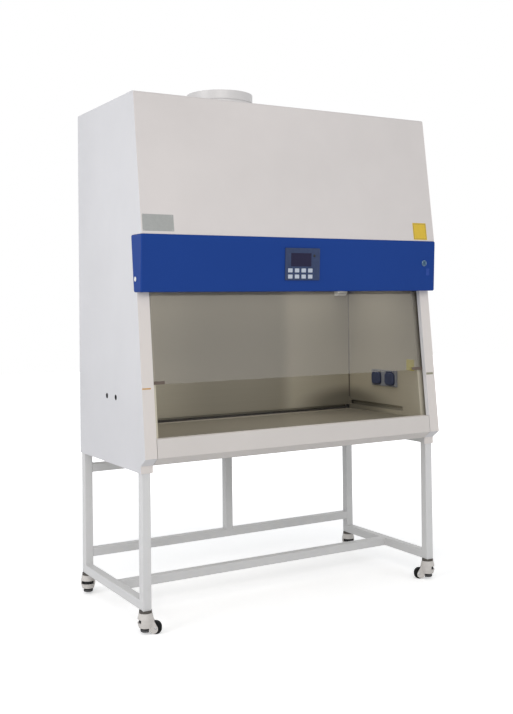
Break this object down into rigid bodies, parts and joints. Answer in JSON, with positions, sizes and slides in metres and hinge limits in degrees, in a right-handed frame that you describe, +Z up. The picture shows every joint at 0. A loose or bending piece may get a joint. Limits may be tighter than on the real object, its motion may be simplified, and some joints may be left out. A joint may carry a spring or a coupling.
{
  "type": "biosafety cabinet",
  "caption": "Free-standing laboratory safety cabinet with a sloping vertical sash, a steel work chamber, a blue control band, a round roof exhaust collar and a tube stand on levelling casters.",
  "frame": {"origin": "centre of the footprint's bounding box, on the floor under the casters", "axes": "+Z up, +Y towards the cabinet's flat back, -Y towards the user, +X to the user's right"},
  "size_m": [1.5242, 0.7726, 2.26],
  "materials": {
    "painted_steel": "satin powder coat",
    "painted_front": "satin powder coat",
    "painted_stand": "satin powder coat",
    "blue_band": "satin",
    "stainless": "brushed",
    "galvanised": "satin",
    "collar_steel": "satin",
    "filter_media": "matt",
    "sash_glass": "clear",
    "dark_plastic": "matt",
    "lamp_glass": "clear",
    "white_plastic": "matt",
    "key_plastic": "matt",
    "bezel_plastic": "matt",
    "screen": "gloss",
    "lock_metal": "polished",
    "socket_plastic": "matt",
    "cover_plastic": "matt",
    "drive_steel": "satin",
    "caster_body": "matt",
    "caster_tyre": "matt",
    "caster_dial": "matt",
    "caster_foot": "matt",
    "caster_plate": "satin"
  },
  "bodies": {
    "cabinet": {"apron_panel": "painted_front", "back_panel": "painted_steel", "base_pan": "stainless", "blower_housing": "galvanised", "caster_rings": "caster_plate", "chamber_liner": "stainless", "control_band": "blue_band", "control_bezel": "bezel_plastic", "diffuser_grille": "stainless", "display_screen": "screen", "exhaust_collar": "collar_steel", "exhaust_filter": "filter_media", "front_grille": "stainless", "hood_panel": "painted_front", "lamp_holders": "white_plastic", "light_tube": "lamp_glass", "plenum_box": "galvanised", "port_plugs": "dark_plastic", "side_panel_left": "painted_steel", "side_panel_right": "painted_steel", "socket_plate": "socket_plastic", "stand_centre_rail": "painted_stand", "stand_frame_left": "painted_stand", "stand_frame_right": "painted_stand", "stand_rear_frame": "painted_stand", "supply_filter": "filter_media", "top_panel": "painted_steel", "uv_tube": "lamp_glass", "work_tray": "stainless"},
    "caster_front_left_fork": {"caster_front_left_fork": "caster_body"},
    "caster_front_left_wheel": {"caster_front_left_wheel": "caster_tyre"},
    "caster_front_left_dial": {"caster_front_left_dial": "caster_dial"},
    "caster_front_left_foot": {"caster_front_left_foot": "caster_foot"},
    "caster_front_right_fork": {"caster_front_right_fork": "caster_body"},
    "caster_front_right_wheel": {"caster_front_right_wheel": "caster_tyre"},
    "caster_front_right_dial": {"caster_front_right_dial": "caster_dial"},
    "caster_front_right_foot": {"caster_front_right_foot": "caster_foot"},
    "caster_rear_left_fork": {"caster_rear_left_fork": "caster_body"},
    "caster_rear_left_wheel": {"caster_rear_left_wheel": "caster_tyre"},
    "caster_rear_left_dial": {"caster_rear_left_dial": "caster_dial"},
    "caster_rear_left_foot": {"caster_rear_left_foot": "caster_foot"},
    "caster_rear_right_fork": {"caster_rear_right_fork": "caster_body"},
    "caster_rear_right_wheel": {"caster_rear_right_wheel": "caster_tyre"},
    "caster_rear_right_dial": {"caster_rear_right_dial": "caster_dial"},
    "caster_rear_right_foot": {"caster_rear_right_foot": "caster_foot"},
    "key_1": {"key_1": "key_plastic"},
    "key_2": {"key_2": "key_plastic"},
    "key_3": {"key_3": "key_plastic"},
    "key_4": {"key_4": "key_plastic"},
    "key_5": {"key_5": "key_plastic"},
    "key_6": {"key_6": "key_plastic"},
    "key_7": {"key_7": "key_plastic"},
    "key_8": {"key_8": "key_plastic"},
    "sash": {"sash_glass": "sash_glass", "sash_clips": "dark_plastic"},
    "sash_drive": {"sash_drive": "drive_steel"},
    "blower_impeller": {"blower_impeller": "galvanised"},
    "key_switch": {"key_switch": "lock_metal"},
    "socket_cover_1": {"socket_cover_1": "cover_plastic"},
    "socket_cover_2": {"socket_cover_2": "cover_plastic"}
  },
  "joints": [
    {"name": "swivel_front_left", "type": "hinge", "parent": "cabinet", "child": "caster_front_left_fork", "pos_m": [-0.726, -0.31928, 0.075], "axis": [0, 0, 1], "continuous": true},
    {"name": "roll_front_left", "type": "hinge", "parent": "caster_front_left_fork", "child": "caster_front_left_wheel", "pos_m": [-0.68975, -0.33618, 0.025], "axis": [-0.4226, -0.9063, 0], "continuous": true},
    {"name": "dial_turn_front_left", "type": "hinge", "parent": "caster_front_left_fork", "child": "caster_front_left_dial", "pos_m": [-0.726, -0.31928, 0.054], "axis": [0, 0, 1], "range_deg": [-617, 2468]},
    {"name": "foot_slide_front_left", "type": "slide", "parent": "caster_front_left_fork", "child": "caster_front_left_foot", "axis": [0, 0, 1], "range_m": [-0.012, 0.003]},
    {"name": "swivel_front_right", "type": "hinge", "parent": "cabinet", "child": "caster_front_right_fork", "pos_m": [0.726, -0.31928, 0.075], "axis": [0, 0, 1], "continuous": true},
    {"name": "roll_front_right", "type": "hinge", "parent": "caster_front_right_fork", "child": "caster_front_right_wheel", "pos_m": [0.69448, -0.29465, 0.025], "axis": [0.6157, 0.788, 0], "continuous": true},
    {"name": "dial_turn_front_right", "type": "hinge", "parent": "caster_front_right_fork", "child": "caster_front_right_dial", "pos_m": [0.726, -0.31928, 0.054], "axis": [0, 0, 1], "range_deg": [-617, 2468]},
    {"name": "foot_slide_front_right", "type": "slide", "parent": "caster_front_right_fork", "child": "caster_front_right_foot", "axis": [0, 0, 1], "range_m": [-0.012, 0.003]},
    {"name": "swivel_rear_left", "type": "hinge", "parent": "cabinet", "child": "caster_rear_left_fork", "pos_m": [-0.726, 0.32372, 0.075], "axis": [0, 0, 1], "continuous": true},
    {"name": "roll_rear_left", "type": "hinge", "parent": "caster_rear_left_fork", "child": "caster_rear_left_wheel", "pos_m": [-0.70722, 0.35904, 0.025], "axis": [0.8829, -0.4695, 0], "continuous": true},
    {"name": "dial_turn_rear_left", "type": "hinge", "parent": "caster_rear_left_fork", "child": "caster_rear_left_dial", "pos_m": [-0.726, 0.32372, 0.054], "axis": [0, 0, 1], "range_deg": [-617, 2468]},
    {"name": "foot_slide_rear_left", "type": "slide", "parent": "caster_rear_left_fork", "child": "caster_rear_left_foot", "axis": [0, 0, 1], "range_m": [-0.012, 0.003]},
    {"name": "swivel_rear_right", "type": "hinge", "parent": "cabinet", "child": "caster_rear_right_fork", "pos_m": [0.726, 0.32372, 0.075], "axis": [0, 0, 1], "continuous": true},
    {"name": "roll_rear_right", "type": "hinge", "parent": "caster_rear_right_fork", "child": "caster_rear_right_wheel", "pos_m": [0.74478, 0.35904, 0.025], "axis": [0.8829, -0.4695, 0], "continuous": true},
    {"name": "dial_turn_rear_right", "type": "hinge", "parent": "caster_rear_right_fork", "child": "caster_rear_right_dial", "pos_m": [0.726, 0.32372, 0.054], "axis": [0, 0, 1], "range_deg": [-617, 2468]},
    {"name": "foot_slide_rear_right", "type": "slide", "parent": "caster_rear_right_fork", "child": "caster_rear_right_foot", "axis": [0, 0, 1], "range_m": [-0.012, 0.003]},
    {"name": "press_key_1", "type": "slide", "parent": "cabinet", "child": "key_1", "axis": [0, 0.9986, 0.0524], "range_m": [0, 0.001], "stiffness_N_per_m": 800},
    {"name": "press_key_2", "type": "slide", "parent": "cabinet", "child": "key_2", "axis": [0, 0.9986, 0.0524], "range_m": [0, 0.001], "stiffness_N_per_m": 800},
    {"name": "press_key_3", "type": "slide", "parent": "cabinet", "child": "key_3", "axis": [0, 0.9986, 0.0524], "range_m": [0, 0.001], "stiffness_N_per_m": 800},
    {"name": "press_key_4", "type": "slide", "parent": "cabinet", "child": "key_4", "axis": [0, 0.9986, 0.0524], "range_m": [0, 0.001], "stiffness_N_per_m": 800},
    {"name": "press_key_5", "type": "slide", "parent": "cabinet", "child": "key_5", "axis": [0, 0.9986, 0.0524], "range_m": [0, 0.001], "stiffness_N_per_m": 800},
    {"name": "press_key_6", "type": "slide", "parent": "cabinet", "child": "key_6", "axis": [0, 0.9986, 0.0524], "range_m": [0, 0.001], "stiffness_N_per_m": 800},
    {"name": "press_key_7", "type": "slide", "parent": "cabinet", "child": "key_7", "axis": [0, 0.9986, 0.0524], "range_m": [0, 0.001], "stiffness_N_per_m": 800},
    {"name": "press_key_8", "type": "slide", "parent": "cabinet", "child": "key_8", "axis": [0, 0.9986, 0.0524], "range_m": [0, 0.001], "stiffness_N_per_m": 800},
    {"name": "sash_slide", "type": "slide", "parent": "cabinet", "child": "sash", "axis": [0, 0.1011, 0.9949], "range_m": [-0.212, 0.2]},
    {"name": "sash_drive_turn", "type": "hinge", "parent": "cabinet", "child": "sash_drive", "pos_m": [0, -0.22928, 1.935], "axis": [-1, 0, 0], "range_deg": [-305, 290]},
    {"name": "blower_spin", "type": "hinge", "parent": "cabinet", "child": "blower_impeller", "pos_m": [0.15, 0.01572, 1.755], "axis": [1, 0, 0], "continuous": true},
    {"name": "key_switch_turn", "type": "hinge", "parent": "cabinet", "child": "key_switch", "pos_m": [0.688, -0.36897, 1.4906], "axis": [0, -0.9986, -0.0524], "range_deg": [0, 90]},
    {"name": "socket_cover_1_hinge", "type": "hinge", "parent": "cabinet", "child": "socket_cover_1", "pos_m": [0.663, -0.02228, 0.969], "axis": [0, 1, 0], "range_deg": [0, 100]},
    {"name": "socket_cover_2_hinge", "type": "hinge", "parent": "cabinet", "child": "socket_cover_2", "pos_m": [0.663, -0.12728, 0.969], "axis": [0, 1, 0], "range_deg": [0, 100]}
  ],
  "couplings": [
    {"joint": "foot_slide_front_left", "follows": "dial_turn_front_left", "m_per_rad": -0.00027852},
    {"joint": "foot_slide_front_right", "follows": "dial_turn_front_right", "m_per_rad": -0.00027852},
    {"joint": "foot_slide_rear_left", "follows": "dial_turn_rear_left", "m_per_rad": -0.00027852},
    {"joint": "foot_slide_rear_right", "follows": "dial_turn_rear_right", "m_per_rad": -0.00027852},
    {"joint": "sash_drive_turn", "follows": "sash_slide", "rad_per_m": 25}
  ]
}
